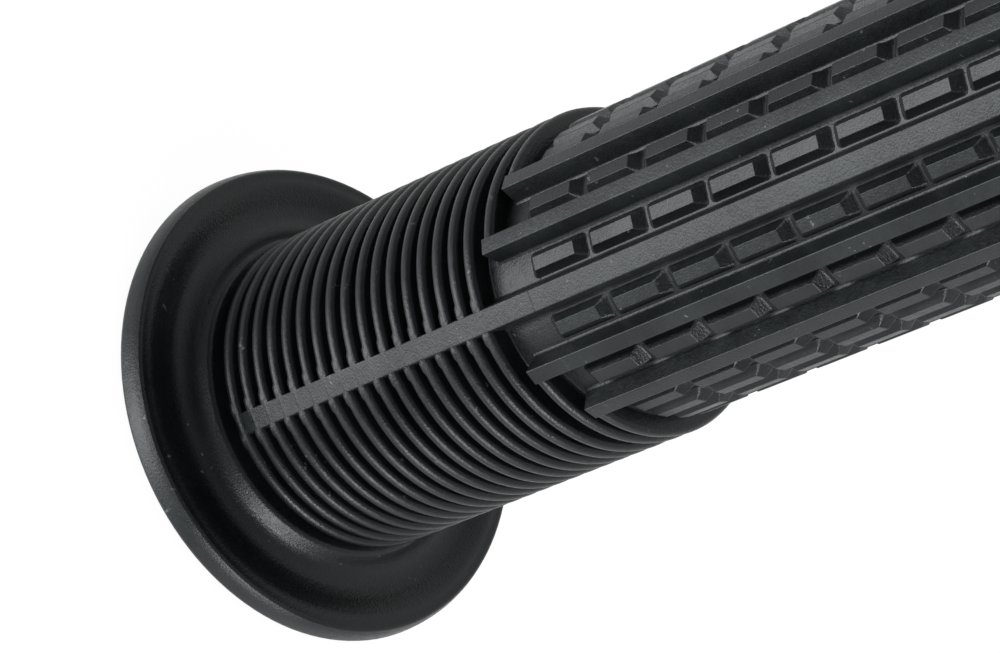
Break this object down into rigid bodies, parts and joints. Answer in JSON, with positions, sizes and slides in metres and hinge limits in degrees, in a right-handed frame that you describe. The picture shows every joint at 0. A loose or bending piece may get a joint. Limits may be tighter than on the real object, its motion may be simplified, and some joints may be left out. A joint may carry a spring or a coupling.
{
  "type": "flanged handlebar grip",
  "caption": "Moulded rubber sleeve with a round flange, ring fins, straight bars and a block tread, for the end of a straight or swept handlebar.",
  "frame": {"origin": "centre of the bore at the back face of the flange", "axes": "+Z along the bore from the flange to the outer end, -Y towards the middle of one spine, +X across it"},
  "size_m": [0.0508, 0.0508, 0.143],
  "materials": {
    "grip_rubber": "matt moulded rubber, near black, with a soft grey sheen"
  },
  "bodies": {
    "root": {"grip": "grip_rubber"}
  },
  "joints": []
}
